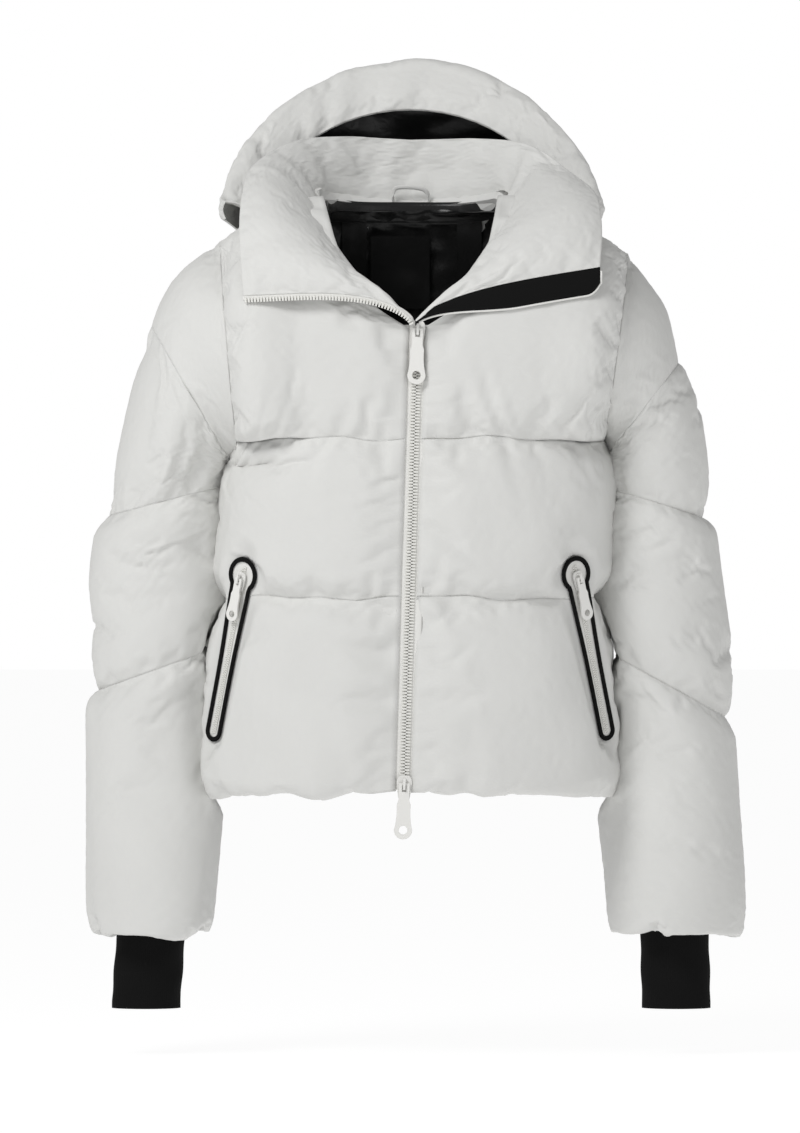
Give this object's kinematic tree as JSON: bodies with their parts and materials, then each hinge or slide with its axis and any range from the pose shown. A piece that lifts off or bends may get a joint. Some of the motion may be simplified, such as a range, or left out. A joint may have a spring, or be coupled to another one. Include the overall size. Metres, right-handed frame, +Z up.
{
  "type": "ski jacket",
  "caption": "Short hooded down ski jacket with quilted chambers, two-way front zip, piped hand pockets, open collar and wrist gaiters, hanging as worn.",
  "frame": {"origin": "middle of the back neck seam", "axes": "+Z up, the front of the jacket faces -Y, +X is the wearer's left"},
  "size_m": [0.6078, 0.327, 0.899],
  "materials": {
    "shell": "matt plain-weave nylon, off-white, down filled",
    "lining": "thin glossy black nylon",
    "gaiter": "matt black stretch knit",
    "binding": "matt black bonded tape",
    "zip": "off-white moulded teeth on woven tape",
    "slider": "off-white enamel on die-cast metal",
    "label": "plain black satin patch"
  },
  "bodies": {
    "jacket_body": {"front_chest_baffle_right": "shell", "front_waist_baffle_right": "shell", "front_hem_baffle_right": "shell", "front_lining_right": "lining", "chest_lining_right": "lining", "front_zip_right": "zip", "pocket_piping_right": "binding", "pocket_zip_right": "zip", "pocket_bag_right": "lining", "collar_lapel_right": "shell", "hood_right_panel": "shell", "hood_brim_right": "shell", "front_chest_baffle_left": "shell", "front_waist_baffle_left": "shell", "front_hem_baffle_left": "shell", "front_lining_left": "lining", "chest_lining_left": "lining", "front_zip_left": "zip", "pocket_piping_left": "binding", "pocket_zip_left": "zip", "pocket_bag_left": "lining", "collar_lapel_left": "shell", "hood_left_panel": "shell", "hood_brim_left": "shell", "back_hem_baffle": "shell", "back_waist_baffle": "shell", "back_chest_baffle": "shell", "back_yoke_baffle": "shell", "back_lining": "lining", "neck_lining": "lining", "collar_back": "shell", "collar_zip_teeth_right": "zip", "collar_facing_left": "binding", "collar_piping_left": "zip", "hanger_loop": "shell", "neck_label": "label"},
    "upper_sleeve_right": {"sleeve_shoulder_baffle_right": "shell", "sleeve_upper_baffle_right": "shell", "sleeve_elbow_baffle_right": "shell", "sleeve_lining_right": "lining"},
    "forearm_right": {"sleeve_forearm_baffle_right": "shell", "wrist_gaiter_right": "gaiter"},
    "pocket_slider_right": {"pocket_right_slider": "slider"},
    "pocket_pull_right": {"pocket_right_pull": "slider"},
    "upper_sleeve_left": {"sleeve_shoulder_baffle_left": "shell", "sleeve_upper_baffle_left": "shell", "sleeve_elbow_baffle_left": "shell", "sleeve_lining_left": "lining"},
    "forearm_left": {"sleeve_forearm_baffle_left": "shell", "wrist_gaiter_left": "gaiter"},
    "pocket_slider_left": {"pocket_left_slider": "slider"},
    "pocket_pull_left": {"pocket_left_pull": "slider"},
    "hood_back": {"hood_centre_panel": "shell", "hood_brim_centre": "shell", "hood_lining": "lining"},
    "top_slider": {"front_zip_top_slider": "slider"},
    "top_pull": {"front_zip_top_pull": "slider"},
    "bottom_slider": {"front_zip_bottom_slider": "slider"},
    "bottom_pull": {"front_zip_bottom_pull": "slider"}
  },
  "joints": [
    {"name": "top_slider_slide", "type": "slide", "parent": "jacket_body", "child": "top_slider", "axis": [-0.0293, 0, -0.9996], "range_m": [0, 0.23]},
    {"name": "top_pull_swing", "type": "hinge", "parent": "top_slider", "child": "top_pull", "pos_m": [0.00632, -0.1925, -0.124], "axis": [-0.9996, 0, 0.0293], "range_deg": [0, 150]},
    {"name": "bottom_slider_slide", "type": "slide", "parent": "jacket_body", "child": "bottom_slider", "axis": [0.0293, 0, 0.9996], "range_m": [0, 0.12]},
    {"name": "bottom_pull_swing", "type": "hinge", "parent": "bottom_slider", "child": "bottom_pull", "pos_m": [-0.00599, -0.1925, -0.54382], "axis": [-0.9996, 0, 0.0293], "range_deg": [0, 150]},
    {"name": "pocket_slider_slide_right", "type": "slide", "parent": "jacket_body", "child": "pocket_slider_right", "axis": [-0.1826, 0.2364, -0.9543], "range_m": [0, 0.119]},
    {"name": "pocket_pull_swing_right", "type": "hinge", "parent": "pocket_slider_right", "child": "pocket_pull_right", "pos_m": [-0.15964, -0.14407, -0.35461], "axis": [-0.747, 0.5978, 0.291], "range_deg": [0, 140]},
    {"name": "pocket_slider_slide_left", "type": "slide", "parent": "jacket_body", "child": "pocket_slider_left", "axis": [0.1907, 0.2461, -0.9503], "range_m": [0, 0.119]},
    {"name": "pocket_pull_swing_left", "type": "hinge", "parent": "pocket_slider_left", "child": "pocket_pull_left", "pos_m": [0.15696, -0.14959, -0.35366], "axis": [-0.7618, -0.5734, -0.3013], "range_deg": [0, 140]},
    {"name": "shoulder_lift_right", "type": "hinge", "parent": "jacket_body", "child": "upper_sleeve_right", "pos_m": [-0.178, -0.062, -0.034], "axis": [0, 1, 0], "range_deg": [0, 60]},
    {"name": "elbow_bend_right", "type": "hinge", "parent": "upper_sleeve_right", "child": "forearm_right", "pos_m": [-0.2405, -0.109, -0.4375], "axis": [-1, 0, 0], "range_deg": [0, 60]},
    {"name": "shoulder_lift_left", "type": "hinge", "parent": "jacket_body", "child": "upper_sleeve_left", "pos_m": [0.203, -0.062, -0.046], "axis": [0, -1, 0], "range_deg": [0, 60]},
    {"name": "elbow_bend_left", "type": "hinge", "parent": "upper_sleeve_left", "child": "forearm_left", "pos_m": [0.244, -0.109, -0.451], "axis": [-1, 0, 0], "range_deg": [0, 60]},
    {"name": "hood_lift", "type": "hinge", "parent": "jacket_body", "child": "hood_back", "pos_m": [0, 0.03, 0.062], "axis": [1, 0, 0], "range_deg": [0, 55]}
  ]
}
